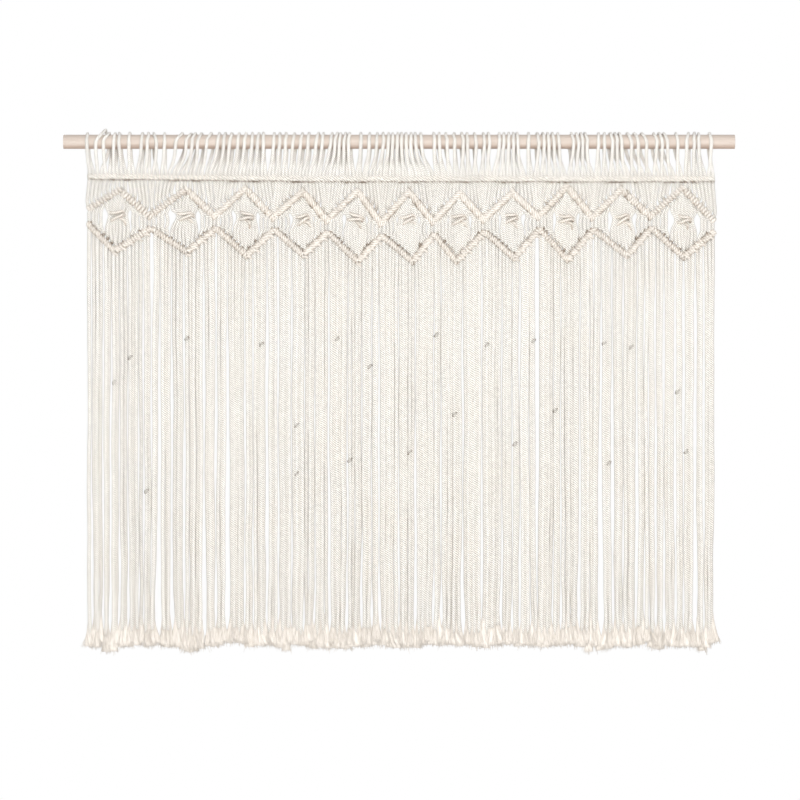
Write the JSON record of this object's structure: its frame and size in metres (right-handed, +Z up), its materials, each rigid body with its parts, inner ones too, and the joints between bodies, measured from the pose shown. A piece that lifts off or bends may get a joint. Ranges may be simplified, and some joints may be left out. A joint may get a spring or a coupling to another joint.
{
  "type": "macrame wall hanging on a wooden rod",
  "caption": "Knotted cotton cord wall hanging with a row of diamonds and a long fringe, looped over a plain round wooden rod.",
  "frame": {"origin": "on the rod's axis, at the middle of its length", "axes": "+Z up, +X to the right along the rod as seen from the front, the front faces -Y"},
  "size_m": [0.9, 0.0294, 0.6931],
  "materials": {
    "dowel_wood": "bare sanded pale hardwood, fine lengthwise grain",
    "cotton_cord": "matt natural cotton, three-ply twisted cord"
  },
  "bodies": {
    "root": {"rod": "dowel_wood", "heading": "cotton_cord", "diamond_band": "cotton_cord", "fringe": "cotton_cord"}
  },
  "joints": []
}
